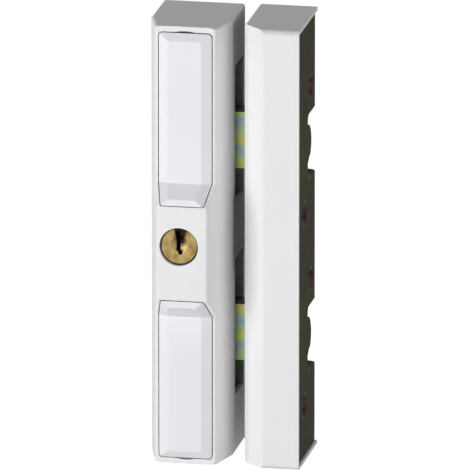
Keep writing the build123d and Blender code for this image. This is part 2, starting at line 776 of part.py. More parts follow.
pieces = {
    "lock_cover": lock_cover(),
    "cap_upper": cap(1),
    "cap_lower": cap(-1),
    "base_plate": base_plate(),
    "base_screws": base_screws(),
    "pivot_tube_upper": pivot_tube("upper"),
    "pivot_tube_lower": pivot_tube("lower"),
    "pivot_washers": pivot_washers(),
    "bolt_upper": swing_bolt("upper"),
    "bolt_lower": swing_bolt("lower"),
    "crank_pin_upper": crank_pin("upper"),
    "crank_pin_lower": crank_pin("lower"),
    "drive_plate": drive_plate(),
    "cylinder_body": cylinder_body(),
    "cylinder_plug": cylinder_plug(),
    "key_pins": key_pins(),
    "driver_pins": driver_pins(),
    "pin_springs": pin_springs(),
    "chamber_strip": chamber_strip(),
    "plug_clip": plug_clip(),
    "plug_crank": plug_crank(),
    "cylinder_screws": cylinder_screws(),
    "strike_cover": strike_cover(),
    "keeper_angle": keeper_angle(),
    "keeper_side_plate": keeper_side_plate(),
}

os.makedirs("parts", exist_ok=True)
for name, shape in pieces.items():
    export_step(shape, f"parts/{name}.step")
    print(name, len(shape.solids()), round(shape.volume, 1))
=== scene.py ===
from math import cos, pi, radians, sin

import bmesh
import bpy
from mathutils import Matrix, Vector


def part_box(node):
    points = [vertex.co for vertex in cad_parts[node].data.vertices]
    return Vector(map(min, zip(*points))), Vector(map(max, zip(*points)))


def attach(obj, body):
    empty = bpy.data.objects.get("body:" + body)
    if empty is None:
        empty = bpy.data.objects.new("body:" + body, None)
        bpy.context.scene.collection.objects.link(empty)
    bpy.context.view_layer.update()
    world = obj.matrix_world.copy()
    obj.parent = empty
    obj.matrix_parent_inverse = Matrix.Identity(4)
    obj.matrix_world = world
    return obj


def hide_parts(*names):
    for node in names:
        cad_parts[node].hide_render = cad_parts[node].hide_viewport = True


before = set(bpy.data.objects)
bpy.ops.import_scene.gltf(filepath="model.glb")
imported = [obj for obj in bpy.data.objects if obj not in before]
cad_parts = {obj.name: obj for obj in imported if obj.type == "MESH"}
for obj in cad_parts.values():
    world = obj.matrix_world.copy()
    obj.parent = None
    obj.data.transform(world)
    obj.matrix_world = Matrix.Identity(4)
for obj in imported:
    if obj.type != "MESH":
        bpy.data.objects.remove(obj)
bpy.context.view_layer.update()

# Window lock: a white lock case with a brass key cylinder and two swing bolts, and the strike box
# beside it.
#
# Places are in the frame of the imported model: X to the right, Z up, Y into the window. An "off" is
# a height off the window, towards the room, so it lies at Y = -off. Sizes are in millimetres, as on
# the drawing, and take MM where Blender wants metres.

MM = 0.001

# Lock case: its straight sides, its rim, the lean of its flanks, and the pockets that hold the caps
side_off = 25.0
cap_off = 40.0
flank_lean = 4.1
case_wall = 2.0
pocket_depth = 3.4
seam_depth = 2.6
pocket_end = 88.5
pocket_half_width = 12.2
middle_zone_reach = 30.0

# Screw caps: how far the seam is widened, and how far the raised field is let down
seam_extra = 0.12
field_off = 42.6
field_drop = 0.7

# Strike box
strike_off = 41.0
strike_chamfer_x = 9.3
strike_chamfer_off = 9.3
side_plate_face = 45.4
countersink_reach = 3.0

# Base plate: how far its tabs stop short of the case's side, on the drawing and here
tab_gap = 0.5
tab_gap_here = 0.05

# Key cylinder, with the dish round its key slot and the slot's reach from the axis
cylinder_x = -1.3
cylinder_z = 1.6
plug_head_radius = 7.15
plug_spread = 0.3
plug_front = 46.5
dish_depth = 1.4
slot_reach = 4.5
body_front = 44.0

# Pin stacks, one behind the other: key pin, driver pin and spring, with how high up the lock each
# starts or ends
chamber_offs = [40.6, 37.1, 33.6, 30.1, 26.6]
key_pin_lengths = [3.4, 4.2, 3.0, 4.6, 3.8]
key_pin_top = 6.894
driver_foot = 7.2
spring_foot = 10.6
spring_top = 14.9
spring_radius = 1.15
spring_wire_radius = 0.17
key_pin_sizes = {"Radius": 1.24, "Foot Radius": 0.45, "Foot Height": 0.75, "Edge": 0.12}
driver_pin_sizes = {"Radius": 1.24, "Foot Radius": 1.1, "Foot Height": 0.14, "Edge": 0.14}

# Screws: where each head starts, and the sizes of the two kinds
base_screw_places = [(10.1, 0.0, 84.4), (-10.1, 0.0, -84.4)]
base_screw_sizes = {
    "Head Radius": 3.8, "Neck Radius": 1.9, "Head Height": 2.2, "Core Radius": 1.6,
    "Shank Length": 9.6, "Thread Depth": 0.25, "Thread Turns": 12,
    "Recess Length": 4.0, "Recess Width": 0.9, "Recess Depth": 1.4}
cylinder_screw_places = [(cylinder_x, -22.2, 22.6), (cylinder_x, -22.2, -13.4)]
cylinder_screw_sizes = {
    "Head Radius": 3.8, "Neck Radius": 3.8, "Head Height": 2.2, "Core Radius": 1.6,
    "Shank Length": 9.0, "Thread Depth": 0.25, "Thread Turns": 11}

# Roundings of edges
ramp_rounding = 0.5
seam_rounding = 0.25
cap_rounding = 0.3
strike_edge_rounding = 0.12
strike_bend_rounding = 1.2
bolt_rounding = 0.5
plug_rounding = 0.35

# How near a place on the drawing counts as on it, how near two places count as level, and how
# near two points count as one
fit = 0.05
level = 0.01
joined = 0.002

# How many degrees a surface turns where it still counts as flat, at a crease, where its shading
# breaks, and at a corner; the shading of small turned pieces breaks a little sooner
flat = 0.3
crease = 12
break_angle = 40
small_break_angle = 35
corner = 60

case_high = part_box("lock_cover")[1]
strike_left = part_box("strike_cover")[0].x / MM


# Materials

def linear(hex_colour):
    """An sRGB hex colour as linear RGBA."""
    parts = [int(hex_colour[i:i + 2], 16) / 255 for i in (1, 3, 5)]
    light = [p / 12.92 if p <= 0.04045 else ((p + 0.055) / 1.055) ** 2.4 for p in parts]
    return (*light, 1.0)


def feed(tree, socket, value):
    """Give an input a value, another node's output, or a list of outputs."""
    for one in value if isinstance(value, list) else [value]:
        if isinstance(one, bpy.types.NodeSocket):
            tree.links.new(one, socket)
        else:
            socket.default_value = one


def add(tree, kind, inputs=(), stops=(), **settings):
    """Add one node with its settings, its inputs by name or number, and a colour ramp's stops."""
    node = tree.nodes.new(kind)
    for key, value in settings.items():
        setattr(node, key, value)
    for key, value in dict(inputs).items():
        feed(tree, node.inputs[key], value)
    if stops:
        band = node.color_ramp
        while len(band.elements) < len(stops):
            band.elements.new(1.0)
        for element, (position, colour) in zip(band.elements, stops):
            element.position = position
            element.color = linear(colour)
    return node


def new_material(name):
    """A material and its empty tree."""
    material = bpy.data.materials.new(name)
    material.use_nodes = True
    material.node_tree.nodes.clear()
    return material, material.node_tree


def gap_painted_shade(tree, place, clean):
    """Painted shade: grey over the clean colours on the case's wall in the narrow gap beside the
    strike.

    It is darkest beside the middle of the lock, and half as dark towards the top."""
    wall = case_high.x - fit * MM
    fade = 0.1 * MM
    middle = 3.2 * MM
    thick_to, gone_by = 12 * MM, 20 * MM
    starts_again, half_by = 40 * MM, 60 * MM
    split = add(tree, "ShaderNodeSeparateXYZ", {0: place})
    beside = add(tree, "ShaderNodeMapRange", {
        "Value": split.outputs["X"], "From Min": wall - fade, "From Max": wall})
    rise = add(tree, "ShaderNodeMath", {0: split.outputs["Z"], 1: middle}, operation="SUBTRACT")
    away = add(tree, "ShaderNodeMath", {0: rise.outputs["Value"]}, operation="ABSOLUTE")
    held = add(tree, "ShaderNodeMapRange", {
        "Value": away.outputs["Value"], "From Min": gone_by, "From Max": thick_to})
    upper = add(tree, "ShaderNodeMapRange", {
        "Value": rise.outputs["Value"], "From Min": starts_again, "From Max": half_by,
        "To Max": 0.5})
    most = add(tree, "ShaderNodeMath", {0: held.outputs["Result"], 1: upper.outputs["Result"]},
               operation="MAXIMUM")
    shade_amount = add(tree, "ShaderNodeMath", {0: beside.outputs["Result"], 1: most.outputs["Value"]},
               operation="MULTIPLY")
    # The grey laid on here is painted shade.
    return add(tree, "ShaderNodeMix", {0: shade_amount.outputs["Value"], 6: clean, 7: linear("#A0A09E")},
               data_type="RGBA").outputs[2]


def powder_coat(name, colour, shadow_colour, shaded_gap=False):
    """Baked polyester powder on metal: satin, even, with a faint orange peel a millimetre wide."""
    material, tree = new_material(name)
    place = add(tree, "ShaderNodeTexCoord").outputs["Object"]
    tone = add(tree, "ShaderNodeTexNoise", {"Vector": place, "Scale": 1 / (18 * MM), "Detail": 3.0})
    colours = add(tree, "ShaderNodeValToRGB", {"Fac": tone.outputs["Fac"]},
                  [(0.3, shadow_colour), (0.7, colour)]).outputs["Color"]
    if shaded_gap:
        colours = gap_painted_shade(tree, place, colours)
    peel = add(tree, "ShaderNodeTexNoise", {
        "Vector": place, "Scale": 1 / (1.1 * MM), "Detail": 1.0})
    bump = add(tree, "ShaderNodeBump", {
        "Height": peel.outputs["Fac"], "Strength": 0.05, "Distance": 0.3 * MM})
    shader = add(tree, "ShaderNodeBsdfPrincipled", {
        "Base Color": colours, "Roughness": 0.5, "Specular IOR Level": 0.01,
        "Normal": bump.outputs["Normal"]})
    add(tree, "ShaderNodeOutputMaterial", {"Surface": shader.outputs["BSDF"]})
    return material


def moulded_plastic(name, colour, shadow_colour):
    """ABS from a lightly spark-eroded mould: a fine even grain, duller than the painted case.

    The grain is drawn about three times as coarse as the mould's, so that it shows."""
    material, tree = new_material(name)
    place = add(tree, "ShaderNodeTexCoord").outputs["Object"]
    tone = add(tree, "ShaderNodeTexNoise", {"Vector": place, "Scale": 1 / (24 * MM), "Detail": 2.0})
    colours = add(tree, "ShaderNodeValToRGB", {"Fac": tone.outputs["Fac"]},
                  [(0.3, shadow_colour), (0.7, colour)]).outputs["Color"]
    grain = add(tree, "ShaderNodeTexNoise", {
        "Vector": place, "Scale": 1 / (0.35 * MM), "Detail": 2.0})
    bump = add(tree, "ShaderNodeBump", {
        "Height": grain.outputs["Fac"], "Strength": 0.06, "Distance": 0.1 * MM})
    shader = add(tree, "ShaderNodeBsdfPrincipled", {
        "Base Color": colours, "Roughness": 0.48, "IOR": 1.53, "Normal": bump.outputs["Normal"]})
    add(tree, "ShaderNodeOutputMaterial", {"Surface": shader.outputs["BSDF"]})
    return material


def grey_zinc_for_shade(name, light, dark):
    """Dull grey zinc in patches a few millimetres wide, dark enough to paint shade in hollows."""
    material, tree = new_material(name)
    place = add(tree, "ShaderNodeTexCoord").outputs["Object"]
    mottle = add(tree, "ShaderNodeTexNoise", {
        "Vector": place, "Scale": 1 / (4 * MM), "Detail": 5.0})
    colours = add(tree, "ShaderNodeValToRGB", {"Fac": mottle.outputs["Fac"]},
                  [(0.3, dark), (0.7, light)]).outputs["Color"]
    shader = add(tree, "ShaderNodeBsdfPrincipled", {
        "Base Color": colours, "Metallic": 0.4, "Roughness": 0.6})
    add(tree, "ShaderNodeOutputMaterial", {"Surface": shader.outputs["BSDF"]})
    return material


def chromate(name, stops, band_height, roughness, streaks, metallic, gloss):
    """Zinc plate with a chromate film: colours in soft bands that drift with the film's thickness.

    The bands run through the stops once every band height, from film_start at the lock's middle.
    The plate's grain is drawn a few times as coarse as the real one, so that it shows."""
    film_start = 0.2
    material, tree = new_material(name)
    place = add(tree, "ShaderNodeTexCoord").outputs["Object"]
    drift = add(tree, "ShaderNodeTexNoise", {
        "Vector": place, "Scale": 1 / (12 * MM), "Detail": 2.0})
    split = add(tree, "ShaderNodeSeparateXYZ", {"Vector": place})
    rise = add(tree, "ShaderNodeMath", {
        0: split.outputs["Z"], 1: 1 / (band_height * MM), 2: film_start}, operation="MULTIPLY_ADD")
    stretched = add(tree, "ShaderNodeMapping", {"Vector": place, "Scale": (1.0, 1.0, 0.12)})
    streak = add(tree, "ShaderNodeTexNoise", {
        "Vector": stretched.outputs["Vector"], "Scale": 1 / (1.2 * MM)})
    warp = add(tree, "ShaderNodeMath", {
        0: drift.outputs["Fac"], 1: 1.0, 2: rise.outputs["Value"]}, operation="MULTIPLY_ADD")
    film = add(tree, "ShaderNodeMath", {
        0: streak.outputs["Fac"], 1: streaks, 2: warp.outputs["Value"]}, operation="MULTIPLY_ADD")
    turn = add(tree, "ShaderNodeMath", {0: film.outputs["Value"]}, operation="FRACT")
    colours = add(tree, "ShaderNodeValToRGB", {"Fac": turn.outputs["Value"]}, stops)
    grain = add(tree, "ShaderNodeTexNoise", {
        "Vector": place, "Scale": 1 / (0.5 * MM), "Detail": 3.0})
    bump = add(tree, "ShaderNodeBump", {
        "Height": grain.outputs["Fac"], "Strength": 0.12, "Distance": 0.1 * MM})
    shader = add(tree, "ShaderNodeBsdfPrincipled", {
        "Base Color": colours.outputs["Color"], "Metallic": metallic, "Roughness": roughness,
        "Specular IOR Level": gloss, "Normal": bump.outputs["Normal"]})
    add(tree, "ShaderNodeOutputMaterial", {"Surface": shader.outputs["BSDF"]})
    return material


def plated_steel(name, bright, dull, roughness, grit, metallic=1.0):
    """Zinc plate on rolled, drawn or turned steel: cool grey, with the tool's grain by its grit.

    The grit is drawn a few times as coarse as the real one, so that it shows."""
    material, tree = new_material(name)
    place = add(tree, "ShaderNodeTexCoord").outputs["Object"]
    cloud = add(tree, "ShaderNodeTexNoise", {"Vector": place, "Scale": 1 / (6 * MM), "Detail": 4.0})
    colours = add(tree, "ShaderNodeValToRGB", {"Fac": cloud.outputs["Fac"]},
                  [(0.3, dull), (0.7, bright)]).outputs["Color"]
    grain = add(tree, "ShaderNodeTexNoise", {
        "Vector": place, "Scale": 1 / (grit * MM), "Detail": 2.0})
    bump = add(tree, "ShaderNodeBump", {
        "Height": grain.outputs["Fac"], "Strength": 0.1, "Distance": 0.1 * MM})
    shader = add(tree, "ShaderNodeBsdfPrincipled", {
        "Base Color": colours, "Metallic": metallic, "Roughness": roughness,
        "Specular IOR Level": 0.5 * metallic, "Normal": bump.outputs["Normal"]})
    add(tree, "ShaderNodeOutputMaterial", {"Surface": shader.outputs["BSDF"]})
    return material


def brass_in_painted_shade(name):
    """Brass inside the lock, painted dark brown as shade, so that a key slot looks nearly black."""
    material, tree = new_material(name)
    place = add(tree, "ShaderNodeTexCoord").outputs["Object"]
    shade_patches = add(tree, "ShaderNodeTexNoise", {
        "Vector": place, "Scale": 1 / (1.6 * MM), "Detail": 4.0})
    colours = add(tree, "ShaderNodeValToRGB", {"Fac": shade_patches.outputs["Fac"]},
                  [(0.35, "#120C06"), (0.55, "#2A1C0E"), (0.75, "#5C4322")]).outputs["Color"]
    shader = add(tree, "ShaderNodeBsdfPrincipled", {
        "Base Color": colours, "Metallic": 0.3, "Roughness": 0.55, "Specular IOR Level": 0.2})
    add(tree, "ShaderNodeOutputMaterial", {"Surface": shader.outputs["BSDF"]})
    return material


def slot_shade(tree, place, centred):
    """How far painted shade covers the plug's face, 0 to 1: a ragged wedge that widens above the
    key slot.

    It ends at the depth where the housing begins, so the works behind the face stay clear."""
    middle, taper, foot, ragged_by = 0.5 * MM, 0.2, 0.3 * MM, 1.6 * MM
    split = add(tree, "ShaderNodeSeparateXYZ", {0: centred})
    right = add(tree, "ShaderNodeMath", {0: split.outputs["X"], 1: middle}, operation="SUBTRACT")
    aside = add(tree, "ShaderNodeMath", {0: right.outputs["Value"]}, operation="ABSOLUTE")
    flare = add(tree, "ShaderNodeMath", {0: split.outputs["Z"], 1: taper, 2: foot},
                operation="MULTIPLY_ADD")
    ragged = add(tree, "ShaderNodeTexNoise", {
        "Vector": place, "Scale": 1 / (0.9 * MM), "Detail": 3.0})
    reach = add(tree, "ShaderNodeMath", {
        0: ragged.outputs["Fac"], 1: ragged_by, 2: flare.outputs["Value"]},
        operation="MULTIPLY_ADD")
    depth = add(tree, "ShaderNodeMath", {0: reach.outputs["Value"], 1: aside.outputs["Value"]},
                operation="SUBTRACT")
    near = add(tree, "ShaderNodeMapRange", {
        "Value": depth.outputs["Value"], "From Min": -1.0 * MM, "From Max": 0.5 * MM})
    above = add(tree, "ShaderNodeMapRange", {
        "Value": split.outputs["Z"], "From Min": -0.5 * MM, "From Max": 1.0 * MM})
    height = add(tree, "ShaderNodeSeparateXYZ", {0: place})
    faced = add(tree, "ShaderNodeMapRange", {
        "Value": height.outputs["Y"], "From Min": -body_front * MM,
        "From Max": -(body_front + 0.6) * MM})
    wedge = add(tree, "ShaderNodeMath", {0: near.outputs["Result"], 1: above.outputs["Result"]},
                operation="MULTIPLY")
    return add(tree, "ShaderNodeMath", {0: wedge.outputs["Value"], 1: faced.outputs["Result"]},
               operation="MULTIPLY").outputs["Value"]


def turned_brass(name):
    """Brass faced on a lathe: rings round the axis, brown patches, and painted shade at the key
    slot.

    The rings are drawn about twice as far apart as the tool leaves them, so that they show."""
    material, tree = new_material(name)
    place = add(tree, "ShaderNodeTexCoord").outputs["Object"]
    centred = add(tree, "ShaderNodeMapping", {
        "Vector": place, "Location": (-cylinder_x * MM, 0.0, -cylinder_z * MM),
        "Scale": (1.0, 0.0, 1.0)}).outputs["Vector"]
    radius = add(tree, "ShaderNodeVectorMath", {0: centred}, operation="LENGTH")
    rings = add(tree, "ShaderNodeMath", {0: radius.outputs["Value"], 1: 2 * pi / (0.22 * MM)},
                operation="MULTIPLY")
    wave = add(tree, "ShaderNodeMath", {0: rings.outputs["Value"]}, operation="SINE")
    patch = add(tree, "ShaderNodeTexNoise", {
        "Vector": place, "Scale": 1 / (3.5 * MM), "Detail": 5.0})
    colours = add(tree, "ShaderNodeValToRGB", {"Fac": patch.outputs["Fac"]},
                  [(0.3, "#644D2C"), (0.5, "#857146"), (0.7, "#978456")]).outputs["Color"]
    # The dark brown over the slot's part of the face is painted shade.
    slot_shaded = add(tree, "ShaderNodeMix", {
        0: slot_shade(tree, place, centred), 6: colours, 7: linear("#1E130A")}, data_type="RGBA")
    bump = add(tree, "ShaderNodeBump", {
        "Height": wave.outputs["Value"], "Strength": 0.08, "Distance": 0.05 * MM})
    shader = add(tree, "ShaderNodeBsdfPrincipled", {
        "Base Color": slot_shaded.outputs[2], "Metallic": 0.9, "Roughness": 0.34,
        "Normal": bump.outputs["Normal"]})
    add(tree, "ShaderNodeOutputMaterial", {"Surface": shader.outputs["BSDF"]})
    return material


# White enamel of both units, plain and even; only the case has painted shade in the gap
case_enamel = powder_coat("satin_white_powder_coat", "#EBEBEB", "#E9E9E9", shaded_gap=True)
strike_enamel = powder_coat("satin_white_powder_coat_strike", "#EBEBEB", "#E9E9EA")
# Caps: white ABS, a touch bluer than the enamel round it
cap_plastic = moulded_plastic("moulded_white_abs", "#E5E6EA", "#E3E4E8")
# The case's bare inside, painted near black as the shade behind its openings, and the grey line
# round each cap, painted shade in the seam
case_inside = grey_zinc_for_shade("bare_zinc_in_painted_shade", "#454543", "#2B2B2A")
seam_shade = grey_zinc_for_shade("painted_shade_in_the_cap_seams", "#5C5C60", "#444448")
# Bolts: the rainbow of a yellow chromate, from pale yellow through green to a cool blue-grey
bolt_finish = chromate(
    "yellow_chromated_zinc",
    [(0.0, "#E6E28C"), (0.14, "#D6E88C"), (0.34, "#BCE4AE"), (0.5, "#BBCED6"),
     (0.6, "#BFC9D8"), (0.7, "#B9DEC4"), (0.84, "#CFEC84"), (1.0, "#E6E28C")],
    band_height=11.75, roughness=0.45, streaks=0.1, metallic=0.45, gloss=0.3)
# The strike's steel: an olive chromate, painted dark as the shade of a side turned from the lamps;
# matt and almost even
keeper_finish = chromate(
    "olive_chromate_in_painted_shade",
    [(0.0, "#383B2A"), (0.35, "#3F4230"), (0.6, "#38362B"), (0.8, "#3E3A31"), (1.0, "#383B2A")],
    band_height=70.0, roughness=0.7, streaks=0.1, metallic=0.0, gloss=0.02)
# Countersinks: the same film in a dark reddish brown, painted as the shade inside the holes
countersink_shade = chromate(
    "countersink_film_in_painted_shade",
    [(0.0, "#22140F"), (0.4, "#4A2F28"), (0.7, "#1A0F0B"), (1.0, "#22140F")],
    band_height=9.0, roughness=0.45, streaks=0.3, metallic=0.3, gloss=0.15)
# Upper and lower faces of the bolts: rough from the shears, and painted dark as the shade of faces
# turned up and down
bolt_end_shade = chromate(
    "chromate_in_painted_shade_on_bolt_ends",
    [(0.0, "#3A3D28"), (0.5, "#2A2D20"), (1.0, "#3A3D28")],
    band_height=9.0, roughness=0.6, streaks=0.3, metallic=0.2, gloss=0.2)
# Base plate: grey and dull behind the openings, hardly a mirror at all
base_finish = plated_steel("dark_passivated_zinc", "#A3A29D", "#868580", 0.6, 0.6, 0.2)
# Steel of the works: brightest on turned pivots, duller on sheet, sharp on wire and screws
pivot_finish = plated_steel("bright_zinc_plate", "#B9BABD", "#A4A5A9", 0.3, 0.4)
drive_finish = plated_steel("rolled_zinc_plated_sheet", "#9A9B9E", "#85868A", 0.38, 0.8)
spring_finish = plated_steel("drawn_spring_wire", "#A9AAAE", "#8E8F94", 0.28, 0.3)
screw_finish = plated_steel("zinc_plated_screw_steel", "#B4B5B8", "#9C9DA1", 0.32, 0.3)
# Brass of the cylinder: golden and ringed where it shows, and painted near black as shade inside
brass = turned_brass("turned_brass")
dark_brass = brass_in_painted_shade("brass_in_painted_shade")


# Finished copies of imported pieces

def merged(node):
    """A piece's loose triangles joined up again, with each flat face whole."""
    form = bmesh.new()
    form.from_mesh(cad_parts[node].data)
    bmesh.ops.remove_doubles(form, verts=form.verts, dist=joined * MM)
    bmesh.ops.dissolve_limit(form, angle_limit=radians(flat), verts=form.verts, edges=form.edges)
    return form


def ends(edge):
    """The two ends of an edge."""
    return [vertex.co for vertex in edge.verts]


def off_of(point):
    """A point's height off the window, in millimetres."""
    return -point.y / MM


def turn_at(edge):
    """How far the surface turns at an edge, in degrees; 0 at a border."""
    return abs(edge.calc_face_angle(0.0)) * 180 / pi


def is_wall(face):
    """Whether a face stands up off the window."""
    return abs(face.normal.y) < 0.05


def soften(form, width, segments, pick):
    """Round the creases that pick chooses, by a width in millimetres."""
    creases = [edge for edge in form.edges
               if len(edge.link_faces) == 2 and turn_at(edge) > crease and pick(edge)]
    if creases:
        bmesh.ops.bevel(form, geom=creases, offset=width * MM, offset_type="OFFSET",
                        segments=segments, profile=0.5, affect="EDGES", clamp_overlap=True)


def in_scene(name, data):
    """A new object in the scene that holds the data."""
    thing = bpy.data.objects.new(name, data)
    bpy.context.scene.collection.objects.link(thing)
    return thing


def made_plain(piece):
    """Keep what a piece's modifiers make of it as its plain mesh."""
    depsgraph = bpy.context.evaluated_depsgraph_get()
    made = piece.evaluated_get(depsgraph)
    piece.data = bpy.data.meshes.new_from_object(made, depsgraph=depsgraph)
    piece.data.name = piece.name
    piece.modifiers.clear()


def stand_in(piece, body, node):
    """Let a finished piece ride on its body in place of its CAD node."""
    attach(piece, body)
    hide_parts(node)


def finished(form, name, body, materials, node):
    """Turn a bmesh into a smoothly shaded piece that stands for a CAD node."""
    mesh = bpy.data.meshes.new(name)
    form.to_mesh(mesh)
    form.free()
    if "custom_normal" in mesh.attributes:
        mesh.attributes.remove(mesh.attributes["custom_normal"])
    for material in materials:
        mesh.materials.append(material)
    mesh.shade_smooth()
    mesh.set_sharp_from_angle(angle=radians(break_angle))
    piece = in_scene(name, mesh)
    weighting = piece.modifiers.new("even_normals", "WEIGHTED_NORMAL")
    weighting.keep_sharp = True
    made_plain(piece)
    stand_in(piece, body, node)


def dress(node, material):
    """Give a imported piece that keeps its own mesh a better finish."""
    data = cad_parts[node].data
    data.materials.clear()
    data.materials.append(material)


def case_shell():
    """The case: enamel with softened edges; bare inside and cap seams painted dark as shade."""
    form = merged("lock_cover")

    def ramp_edge(edge):
        a, b = ends(edge)
        across = abs(a.z - b.z) < level * MM and abs(a.y - b.y) < level * MM
        on_middle_zone = off_of(a) > cap_off - fit and abs(a.z) < middle_zone_reach * MM
        return across and on_middle_zone and turn_at(edge) < corner

    def seam_edge(edge):
        a, b = ends(edge)
        walls = [face for face in edge.link_faces if is_wall(face)]
        at_rim = min(off_of(a), off_of(b)) > cap_off - fit
        over_pocket = max(abs(a.x), abs(b.x)) < pocket_half_width * MM
        return at_rim and over_pocket and len(walls) == 1 and turn_at(edge) > break_angle

    def in_cavity(middle):
        lean = max(0.0, off_of(middle) - side_off) * flank_lean / (cap_off - side_off)
        within_sides = abs(middle.x) < case_high.x - (case_wall + fit + lean) * MM
        within_ends = abs(middle.z) < case_high.z - (case_wall - fit) * MM
        under_pockets = level < off_of(middle) < cap_off - pocket_depth - 2 * fit
        return within_sides and within_ends and under_pockets

    def on_pocket_wall(face, middle):
        in_seam = cap_off - seam_depth < off_of(middle) < cap_off
        in_width = abs(middle.x) < pocket_half_width * MM
        in_length = abs(middle.z) < (pocket_end + fit) * MM
        return is_wall(face) and face.normal.x < 0.5 and in_seam and in_width and in_length

    soften(form, ramp_rounding, 3, ramp_edge)
    soften(form, seam_rounding, 2, seam_edge)
    # The bare inside and the pocket walls take dark finishes that paint their shade.
    for face in form.faces:
        middle = face.calc_center_median()
        face.material_index = 2 if on_pocket_wall(face, middle) else 1 if in_cavity(middle) else 0
    finished(form, "case_shell", "root", [case_enamel, case_inside, seam_shade],
             "lock_cover")


def cap_moulding(side):
    """A screw cap: bevels softened, outline drawn in to widen the seam, shade painted on its sides.
    """
    form = merged(f"cap_{side}")
    low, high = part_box(f"cap_{side}")
    middle, half = (low + high) / 2, (high - low) / 2
    for vertex in form.verts:
        for axis in (0, 2):
            vertex.co[axis] -= (vertex.co[axis] - middle[axis]) / half[axis] * seam_extra * MM
        if abs(off_of(vertex.co) - field_off) < fit:
            vertex.co.y += field_drop * MM
    soften(form, cap_rounding, 2, lambda edge: min(map(off_of, ends(edge))) > cap_off - 2 * fit)
    # The side walls take the seam's painted shade.
    for face in form.faces:
        face.material_index = 1 if is_wall(face) else 0
    finished(form, f"cap_{side}_moulding", "root", [cap_plastic, seam_shade],
             f"cap_{side}")


def strike_shell():
    """The strike's thin cover, with the soft corners of bent and welded sheet."""
    form = merged("strike_cover")

    def upright_at(x, off):
        def pick(edge):
            a, b = ends(edge)
            upright = abs(a.x - b.x) < level * MM and abs(a.y - b.y) < level * MM
            return upright and abs(a.x / MM - x) < fit and abs(off_of(a) - off) < fit
        return pick

    soften(form, strike_edge_rounding, 2, upright_at(strike_left, strike_off - strike_chamfer_off))
    soften(form, strike_bend_rounding, 4, upright_at(strike_left + strike_chamfer_x, strike_off))
    finished(form, "strike_shell", "root", [strike_enamel], "strike_cover")


def bolt(side):
    """A swing bolt: chromated faces with their edges broken, upper and lower faces painted as shade.
    """
    form = merged(f"bolt_{side}")
    soften(form, bolt_rounding, 2, lambda edge: turn_at(edge) > corner)
    # Upper and lower faces take the finish painted as shade.
    for face in form.faces:
        facing_up_down = abs(face.normal.z) > 0.8
        face.material_index = 1 if facing_up_down else 0
    finished(form, f"bolt_{side}_plated", f"{side}_bolt", [bolt_finish, bolt_end_shade],
             f"bolt_{side}")


def base_plate():
    """The base plate, its tabs drawn out to close the wall openings at the back."""
    form = merged("base_plate")
    for vertex in form.verts:
        if vertex.co.x > case_high.x - (tab_gap + 2 * fit) * MM:
            vertex.co.x = case_high.x - tab_gap_here * MM
    finished(form, "base_plate_plated", "root", [base_finish], "base_plate")


def side_plate():
    """The plate in the strike's open side: olive chromate painted dark as shade, and its
    countersinks a dark reddish brown painted as the shade in the holes.
    """
    form = merged("keeper_side_plate")
    # Countersink faces take the reddish brown painted as the holes' shade.
    for face in form.faces:
        slanted = 0.2 < abs(face.normal.x) < 0.95
        at_front = face.calc_center_median().x > (side_plate_face - countersink_reach) * MM
        face.material_index = 1 if slanted and at_front else 0
    finished(form, "side_plate_plated", "root", [keeper_finish, countersink_shade],
             "keeper_side_plate")


def keeper_angle():
    """The steel angle in the strike box, olive and painted dark as shade, like the side plate."""
    finished(merged("keeper_angle"), "keeper_angle_plated", "root", [keeper_finish],
             "keeper_angle")


def from_axis(point):
    """The arm from the cylinder's axis to a point, in metres."""
    return Vector((point.x - cylinder_x * MM, 0.0, point.z - cylinder_z * MM))


def plug():
    """The key plug: turned brass, its head spread to the hole's edge, painted shade in the key slot.
    """
    form = merged("cylinder_plug")
    inner, outer = plug_head_radius - 0.3, plug_head_radius - 0.2
    # The key slot's walls and depths take the brass painted as shade.
    for face in form.faces:
        middle = face.calc_center_median()
        reach = from_axis(middle).length / MM
        wall = abs(face.normal.y) < 0.3 and reach < inner
        deep = off_of(middle) < plug_front - dish_depth and reach < slot_reach
        face.material_index = 1 if wall or deep else 0

    def rim(edge):
        a, b = ends(edge)
        reach = min(from_axis(a).length, from_axis(b).length) / MM
        return reach > outer and min(off_of(a), off_of(b)) > plug_front - fit

    for vertex in form.verts:
        arm = from_axis(vertex.co)
        if arm.length > (plug_head_radius - fit) * MM:
            vertex.co += arm.normalized() * plug_spread * MM
    soften(form, plug_rounding, 3, rim)
    finished(form, "plug_turned", "key_plug", [brass, dark_brass],
             "cylinder_plug")


def housing():
    """The housing behind the plug, its front painted dark as the shade round the plug."""
    form = merged("cylinder_body")
    # The front faces take the brass painted as shade.
    for face in form.faces:
        face.material_index = 1 if off_of(face.calc_center_median()) > body_front - 2 * fit else 0
    finished(form, "housing_turned", "root", [brass, dark_brass], "cylinder_body")


# Pieces that repeat, made with Geometry Nodes

def node_tree(name, sizes):
    """A tree that sets a shape on every place of a mesh, with one named input for each size."""
    tree = bpy.data.node_groups.new(name, "GeometryNodeTree")
    tree.interface.new_socket(name="Places", in_out="INPUT", socket_type="NodeSocketGeometry")
    for size in sizes:
        tree.interface.new_socket(name=size, in_out="INPUT", socket_type="NodeSocketFloat")
    tree.interface.new_socket(name="Shapes", in_out="OUTPUT", socket_type="NodeSocketGeometry")
    return tree, add(tree, "NodeGroupInput").outputs, add(tree, "NodeGroupOutput")


def end_tree(tree, output, shapes, finish):
    """Realize Instances and Set Material, which every tree ends in."""
    real = add(tree, "GeometryNodeRealizeInstances", {"Geometry": shapes})
    dressed = add(tree, "GeometryNodeSetMaterial", {
        "Geometry": real.outputs[0], "Material": finish})
    tree.links.new(dressed.outputs[0], output.inputs["Shapes"])


